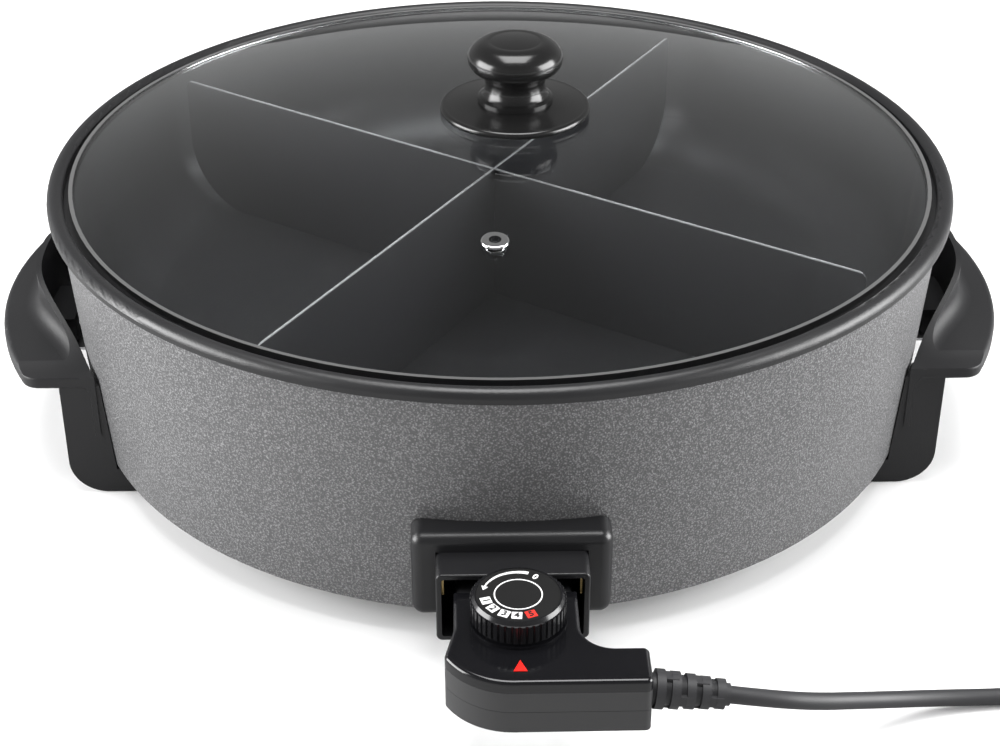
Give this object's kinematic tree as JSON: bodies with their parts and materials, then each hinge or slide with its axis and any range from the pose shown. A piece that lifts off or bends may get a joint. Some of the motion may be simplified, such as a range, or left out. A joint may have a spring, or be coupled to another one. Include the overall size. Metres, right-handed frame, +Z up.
{
  "type": "electric griddle",
  "caption": "Round electric pan with a domed glass lid, cross divider, side handles with legs, and a plug-in dial thermostat on a mains cord.",
  "frame": {"origin": "on the pan's vertical axis, at the level of the surface that the four feet stand on", "axes": "+Z up, +X to the right as seen from the thermostat's side, +Y away from the thermostat, which plugs in at -Y"},
  "size_m": [0.5634, 0.4948, 0.1886],
  "materials": {
    "nonstick": "satin non-stick coating",
    "hammer_paint": "hammered grey paint",
    "element_sheath": "heat-tinted sheath",
    "bush_ceramic": "unglazed",
    "well_aluminium": "cast",
    "socket_plastic": "satin moulding",
    "fastener_steel": "zinc plated",
    "contact_brass": "plain",
    "handle_plastic": "fine moulded texture",
    "lid_glass": "clear tempered",
    "polished_steel": "polished",
    "knob_plastic": "gloss moulding",
    "silicone": "matte",
    "divider_coat": "dark coat with bare edge",
    "case_gloss": "gloss top, matte sides",
    "case_matte": "matte",
    "dial_plastic": "gloss moulding",
    "dial_print": "printed scale",
    "inner_plastic": "natural",
    "probe_steel": "drawn tube",
    "red_lens": "translucent red",
    "lamp_glass": "clear",
    "wire_cover": "silicone covered",
    "cord_rubber": "matte",
    "tie_strap": "woven",
    "plug_metal": "nickel plated"
  },
  "bodies": {
    "pan_base": {"inner_pan": "nonstick", "outer_shell": "hammer_paint", "heating_element": "element_sheath", "terminal_pins": "element_sheath", "terminal_bushes": "bush_ceramic", "probe_well": "well_aluminium", "socket_bezel": "socket_plastic", "socket_housing": "socket_plastic", "socket_screws": "fastener_steel", "earth_contacts": "contact_brass", "handle_left": "handle_plastic", "handle_right": "handle_plastic", "handle_bracket_left": "fastener_steel", "handle_bracket_right": "fastener_steel", "bracket_rivets": "fastener_steel", "handle_screws": "fastener_steel"},
    "lid": {"glass_lid": "lid_glass", "lid_band": "polished_steel", "steam_vent": "polished_steel", "lid_knob": "knob_plastic", "knob_shield": "knob_plastic", "knob_gasket": "silicone", "knob_washer": "fastener_steel", "knob_screw": "fastener_steel"},
    "divider": {"divider_long": "divider_coat", "divider_cross": "divider_coat"},
    "thermostat": {"upper_cover": "case_gloss", "lower_cover": "case_matte", "cover_screws": "fastener_steel", "terminal_block": "socket_plastic", "contact_tubes": "contact_brass", "sensor_probe": "probe_steel", "contact_blades": "contact_brass", "pilot_lens": "red_lens", "pilot_lamp": "lamp_glass", "strain_relief": "cord_rubber", "cord_clamp": "inner_plastic", "internal_wires": "wire_cover", "mains_cord": "cord_rubber", "cord_tail": "cord_rubber", "cord_coil": "cord_rubber", "cord_tie": "tie_strap", "plug_body": "cord_rubber", "plug_contacts": "plug_metal"},
    "dial": {"dial_knob": "dial_plastic", "dial_face": "dial_print", "dial_spindle": "inner_plastic"},
    "cam_follower": {"cam_follower": "inner_plastic"}
  },
  "joints": [
    {"name": "lid_lift", "type": "slide", "parent": "pan_base", "child": "lid", "axis": [0, 0, 1], "range_m": [0, 0.24]},
    {"name": "divider_lift", "type": "slide", "parent": "pan_base", "child": "divider", "axis": [0, 0, 1], "range_m": [0, 0.12]},
    {"name": "thermostat_unplug", "type": "slide", "parent": "pan_base", "child": "thermostat", "axis": [0, -1, 0], "range_m": [0, 0.13]},
    {"name": "dial_turn", "type": "hinge", "parent": "thermostat", "child": "dial", "pos_m": [0.0016, -0.2466, 0.05], "axis": [0, 0, 1], "range_deg": [-22, 213]},
    {"name": "follower_slide", "type": "slide", "parent": "thermostat", "child": "cam_follower", "axis": [0, 1, 0], "range_m": [-0.0004, 0.0027]}
  ],
  "couplings": [
    {"joint": "divider_lift", "follows": "lid_lift", "ratio": 0.5},
    {"joint": "follower_slide", "follows": "dial_turn", "m_per_rad": 0.0007}
  ]
}
